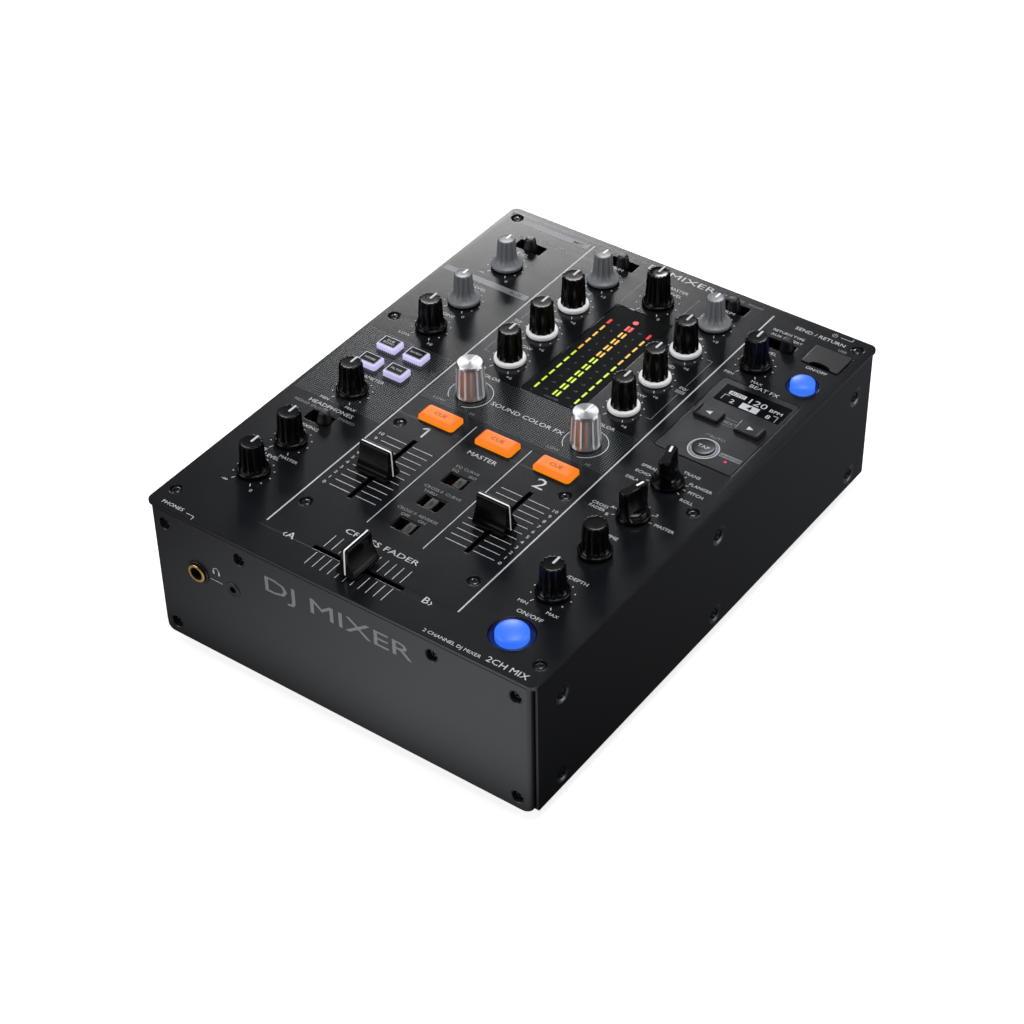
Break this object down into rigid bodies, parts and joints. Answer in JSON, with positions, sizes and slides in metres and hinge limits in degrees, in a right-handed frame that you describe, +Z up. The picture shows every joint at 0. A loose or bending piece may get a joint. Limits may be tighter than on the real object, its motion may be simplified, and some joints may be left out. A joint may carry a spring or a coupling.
{
  "type": "dj mixer",
  "caption": "Compact tabletop DJ mixer with rotary controls, channel faders, crossfader, lit buttons, level meter and rear audio sockets.",
  "frame": {"origin": "middle of the footprint, on the surface that the feet stand on", "axes": "+Z up; +Y from the player's side towards the rear sockets; +X to the player's right"},
  "size_m": [0.23, 0.3202, 0.1079],
  "materials": {
    "panel": "satin black paint with white printing",
    "front": "satin charcoal paint",
    "case": "satin black paint",
    "board": "glass-epoxy circuit board",
    "sockets": "black moulded sockets with plated contacts",
    "window": "smoked acrylic",
    "feet": "soft black rubber",
    "grey_knob": "grey, finely fluted",
    "black_knob": "black, finely fluted",
    "metal_knob": "turned and fluted",
    "cue_button": "translucent orange, lit",
    "color_button": "translucent lilac, lit",
    "blue_button": "translucent blue, lit",
    "dark_button": "soft-touch black",
    "fader_cap": "black with a pale edge line",
    "lever": "dark moulded plastic",
    "lid": "dark moulded plastic"
  },
  "bodies": {
    "housing": {"top_panel": "panel", "front_panel": "front", "case": "case", "control_board": "board", "power_board": "board", "jack_board": "sockets", "headphone_jacks": "sockets", "meter_window": "window", "effects_panel": "window", "foot_1": "feet", "foot_2": "feet", "foot_3": "feet", "foot_4": "feet"},
    "mic_level_knob": {"mic_level_knob": "grey_knob"},
    "aux_level_knob": {"aux_level_knob": "grey_knob"},
    "mic_tone_knob": {"mic_tone_knob": "black_knob"},
    "color_parameter_knob": {"color_parameter_knob": "black_knob"},
    "headphones_mixing_knob": {"headphones_mixing_knob": "black_knob"},
    "headphones_level_knob": {"headphones_level_knob": "black_knob"},
    "master_level_knob": {"master_level_knob": "black_knob"},
    "return_level_knob": {"return_level_knob": "black_knob"},
    "beat_time_knob": {"beat_time_knob": "black_knob"},
    "beat_depth_knob": {"beat_depth_knob": "black_knob"},
    "ch1_trim_knob": {"ch1_trim_knob": "grey_knob"},
    "ch1_hi_knob": {"ch1_hi_knob": "black_knob"},
    "ch1_mid_knob": {"ch1_mid_knob": "black_knob"},
    "ch1_low_knob": {"ch1_low_knob": "black_knob"},
    "ch1_color_knob": {"ch1_color_knob": "metal_knob"},
    "ch2_trim_knob": {"ch2_trim_knob": "grey_knob"},
    "ch2_hi_knob": {"ch2_hi_knob": "black_knob"},
    "ch2_mid_knob": {"ch2_mid_knob": "black_knob"},
    "ch2_low_knob": {"ch2_low_knob": "black_knob"},
    "ch2_color_knob": {"ch2_color_knob": "metal_knob"},
    "beat_select_knob": {"beat_select_knob": "black_knob"},
    "beat_channel_knob": {"beat_channel_knob": "black_knob"},
    "color_button_1": {"color_button_1": "color_button"},
    "color_button_2": {"color_button_2": "color_button"},
    "color_button_3": {"color_button_3": "color_button"},
    "color_button_4": {"color_button_4": "color_button"},
    "ch1_cue_button": {"ch1_cue_button": "cue_button"},
    "master_cue_button": {"master_cue_button": "cue_button"},
    "ch2_cue_button": {"ch2_cue_button": "cue_button"},
    "beat_left_button": {"beat_left_button": "dark_button"},
    "beat_right_button": {"beat_right_button": "dark_button"},
    "return_on_button": {"return_on_button": "blue_button"},
    "beat_on_button": {"beat_on_button": "blue_button"},
    "tap_button": {"tap_button": "dark_button"},
    "mic_switch_lever": {"mic_switch_lever": "lever"},
    "ch1_source_lever": {"ch1_source_lever": "lever"},
    "ch2_source_lever": {"ch2_source_lever": "lever"},
    "return_type_lever": {"return_type_lever": "lever"},
    "headphones_mode_lever": {"headphones_mode_lever": "lever"},
    "eq_curve_slider": {"eq_curve_slider": "lever"},
    "fader_curve_slider": {"fader_curve_slider": "lever"},
    "fader_reverse_slider": {"fader_reverse_slider": "lever"},
    "ch1_fader": {"ch1_fader": "fader_cap"},
    "ch2_fader": {"ch2_fader": "fader_cap"},
    "crossfader": {"crossfader": "fader_cap"},
    "power_button": {"power_button": "dark_button"},
    "usb_lid": {"usb_lid": "lid"}
  },
  "joints": [
    {"name": "mic_level_turn", "type": "hinge", "parent": "housing", "child": "mic_level_knob", "pos_m": [-0.0853, 0.0983, 0.0879], "axis": [0, 0, 1], "range_deg": [-150, 150]},
    {"name": "aux_level_turn", "type": "hinge", "parent": "housing", "child": "aux_level_knob", "pos_m": [-0.0853, 0.0594, 0.0879], "axis": [0, 0, 1], "range_deg": [-150, 150]},
    {"name": "mic_tone_turn", "type": "hinge", "parent": "housing", "child": "mic_tone_knob", "pos_m": [-0.0853, 0.0308, 0.0879], "axis": [0, 0, 1], "range_deg": [-150, 150]},
    {"name": "color_parameter_turn", "type": "hinge", "parent": "housing", "child": "color_parameter_knob", "pos_m": [-0.0853, -0.0353, 0.0879], "axis": [0, 0, 1], "range_deg": [-150, 150]},
    {"name": "headphones_mixing_turn", "type": "hinge", "parent": "housing", "child": "headphones_mixing_knob", "pos_m": [-0.0853, -0.0839, 0.0879], "axis": [0, 0, 1], "range_deg": [-150, 150]},
    {"name": "headphones_level_turn", "type": "hinge", "parent": "housing", "child": "headphones_level_knob", "pos_m": [-0.0853, -0.1125, 0.0879], "axis": [0, 0, 1], "range_deg": [-150, 150]},
    {"name": "master_level_turn", "type": "hinge", "parent": "housing", "child": "master_level_knob", "pos_m": [0.0002, 0.1156, 0.0879], "axis": [0, 0, 1], "range_deg": [-150, 150]},
    {"name": "return_level_turn", "type": "hinge", "parent": "housing", "child": "return_level_knob", "pos_m": [0.071, 0.0981, 0.0879], "axis": [0, 0, 1], "range_deg": [-150, 150]},
    {"name": "beat_time_turn", "type": "hinge", "parent": "housing", "child": "beat_time_knob", "pos_m": [0.0849, -0.0677, 0.0879], "axis": [0, 0, 1], "continuous": true},
    {"name": "beat_depth_turn", "type": "hinge", "parent": "housing", "child": "beat_depth_knob", "pos_m": [0.0849, -0.1021, 0.0879], "axis": [0, 0, 1], "range_deg": [-150, 150]},
    {"name": "ch1_trim_turn", "type": "hinge", "parent": "housing", "child": "ch1_trim_knob", "pos_m": [-0.0348, 0.1159, 0.0879], "axis": [0, 0, 1], "range_deg": [-150, 150]},
    {"name": "ch1_hi_turn", "type": "hinge", "parent": "housing", "child": "ch1_hi_knob", "pos_m": [-0.0348, 0.088, 0.0879], "axis": [0, 0, 1], "range_deg": [-150, 150]},
    {"name": "ch1_mid_turn", "type": "hinge", "parent": "housing", "child": "ch1_mid_knob", "pos_m": [-0.0348, 0.0594, 0.0879], "axis": [0, 0, 1], "range_deg": [-150, 150]},
    {"name": "ch1_low_turn", "type": "hinge", "parent": "housing", "child": "ch1_low_knob", "pos_m": [-0.0348, 0.0308, 0.0879], "axis": [0, 0, 1], "range_deg": [-150, 150]},
    {"name": "ch1_color_turn", "type": "hinge", "parent": "housing", "child": "ch1_color_knob", "pos_m": [-0.0348, -0.003, 0.0879], "axis": [0, 0, 1], "range_deg": [-150, 150]},
    {"name": "ch2_trim_turn", "type": "hinge", "parent": "housing", "child": "ch2_trim_knob", "pos_m": [0.0352, 0.1159, 0.0879], "axis": [0, 0, 1], "range_deg": [-150, 150]},
    {"name": "ch2_hi_turn", "type": "hinge", "parent": "housing", "child": "ch2_hi_knob", "pos_m": [0.0352, 0.088, 0.0879], "axis": [0, 0, 1], "range_deg": [-150, 150]},
    {"name": "ch2_mid_turn", "type": "hinge", "parent": "housing", "child": "ch2_mid_knob", "pos_m": [0.0352, 0.0594, 0.0879], "axis": [0, 0, 1], "range_deg": [-150, 150]},
    {"name": "ch2_low_turn", "type": "hinge", "parent": "housing", "child": "ch2_low_knob", "pos_m": [0.0352, 0.0308, 0.0879], "axis": [0, 0, 1], "range_deg": [-150, 150]},
    {"name": "ch2_color_turn", "type": "hinge", "parent": "housing", "child": "ch2_color_knob", "pos_m": [0.0352, -0.003, 0.0879], "axis": [0, 0, 1], "range_deg": [-150, 150]},
    {"name": "beat_select_turn", "type": "hinge", "parent": "housing", "child": "beat_select_knob", "pos_m": [0.0849, -0.0057, 0.0879], "axis": [0, 0, 1], "range_deg": [-120, 90]},
    {"name": "beat_channel_turn", "type": "hinge", "parent": "housing", "child": "beat_channel_knob", "pos_m": [0.0849, -0.0357, 0.0879], "axis": [0, 0, 1], "range_deg": [-90, 120]},
    {"name": "color_button_1_press", "type": "slide", "parent": "housing", "child": "color_button_1", "axis": [0, 0, 1], "range_m": [-0.0012, 0], "stiffness_N_per_m": 150, "springref_m": 0.0015},
    {"name": "color_button_2_press", "type": "slide", "parent": "housing", "child": "color_button_2", "axis": [0, 0, 1], "range_m": [-0.0012, 0], "stiffness_N_per_m": 150, "springref_m": 0.0015},
    {"name": "color_button_3_press", "type": "slide", "parent": "housing", "child": "color_button_3", "axis": [0, 0, 1], "range_m": [-0.0012, 0], "stiffness_N_per_m": 150, "springref_m": 0.0015},
    {"name": "color_button_4_press", "type": "slide", "parent": "housing", "child": "color_button_4", "axis": [0, 0, 1], "range_m": [-0.0012, 0], "stiffness_N_per_m": 150, "springref_m": 0.0015},
    {"name": "ch1_cue_press", "type": "slide", "parent": "housing", "child": "ch1_cue_button", "axis": [0, 0, 1], "range_m": [-0.0012, 0], "stiffness_N_per_m": 150, "springref_m": 0.0015},
    {"name": "master_cue_press", "type": "slide", "parent": "housing", "child": "master_cue_button", "axis": [0, 0, 1], "range_m": [-0.0012, 0], "stiffness_N_per_m": 150, "springref_m": 0.0015},
    {"name": "ch2_cue_press", "type": "slide", "parent": "housing", "child": "ch2_cue_button", "axis": [0, 0, 1], "range_m": [-0.0012, 0], "stiffness_N_per_m": 150, "springref_m": 0.0015},
    {"name": "beat_left_press", "type": "slide", "parent": "housing", "child": "beat_left_button", "axis": [0, 0, 1], "range_m": [-0.0012, 0], "stiffness_N_per_m": 150, "springref_m": 0.0015},
    {"name": "beat_right_press", "type": "slide", "parent": "housing", "child": "beat_right_button", "axis": [0, 0, 1], "range_m": [-0.0012, 0], "stiffness_N_per_m": 150, "springref_m": 0.0015},
    {"name": "return_on_press", "type": "slide", "parent": "housing", "child": "return_on_button", "axis": [0, 0, 1], "range_m": [-0.0012, 0], "stiffness_N_per_m": 150, "springref_m": 0.0015},
    {"name": "beat_on_press", "type": "slide", "parent": "housing", "child": "beat_on_button", "axis": [0, 0, 1], "range_m": [-0.0012, 0], "stiffness_N_per_m": 150, "springref_m": 0.0015},
    {"name": "tap_press", "type": "slide", "parent": "housing", "child": "tap_button", "axis": [0, 0, 1], "range_m": [-0.0012, 0], "stiffness_N_per_m": 150, "springref_m": 0.0015},
    {"name": "mic_switch_slide", "type": "slide", "parent": "housing", "child": "mic_switch_lever", "axis": [1, 0, 0], "range_m": [-0.0045, 0.0045]},
    {"name": "ch1_source_slide", "type": "slide", "parent": "housing", "child": "ch1_source_lever", "axis": [1, 0, 0], "range_m": [-0.0045, 0.0045]},
    {"name": "ch2_source_slide", "type": "slide", "parent": "housing", "child": "ch2_source_lever", "axis": [1, 0, 0], "range_m": [-0.0045, 0.0045]},
    {"name": "return_type_slide", "type": "slide", "parent": "housing", "child": "return_type_lever", "axis": [1, 0, 0], "range_m": [-0.008, 0]},
    {"name": "headphones_mode_slide", "type": "slide", "parent": "housing", "child": "headphones_mode_lever", "axis": [1, 0, 0], "range_m": [-0.006, 0]},
    {"name": "eq_curve_slide", "type": "slide", "parent": "housing", "child": "eq_curve_slider", "axis": [1, 0, 0], "range_m": [-0.0044, 0]},
    {"name": "fader_curve_slide", "type": "slide", "parent": "housing", "child": "fader_curve_slider", "axis": [1, 0, 0], "range_m": [-0.003, 0.003]},
    {"name": "fader_reverse_slide", "type": "slide", "parent": "housing", "child": "fader_reverse_slider", "axis": [1, 0, 0], "range_m": [-0.0044, 0]},
    {"name": "ch1_fader_slide", "type": "slide", "parent": "housing", "child": "ch1_fader", "axis": [0, 1, 0], "range_m": [-0.0198, 0.0252]},
    {"name": "ch2_fader_slide", "type": "slide", "parent": "housing", "child": "ch2_fader", "axis": [0, 1, 0], "range_m": [-0.0198, 0.0252]},
    {"name": "crossfader_slide", "type": "slide", "parent": "housing", "child": "crossfader", "axis": [1, 0, 0], "range_m": [-0.0225, 0.0225]},
    {"name": "power_press", "type": "slide", "parent": "housing", "child": "power_button", "axis": [0, 1, 0], "range_m": [-0.002, 0], "stiffness_N_per_m": 150, "springref_m": 0.0015},
    {"name": "usb_lid_hinge", "type": "hinge", "parent": "housing", "child": "usb_lid", "pos_m": [0.0986, 0.1308, 0.0885], "axis": [-1, 0, 0], "range_deg": [0, 100]}
  ]
}
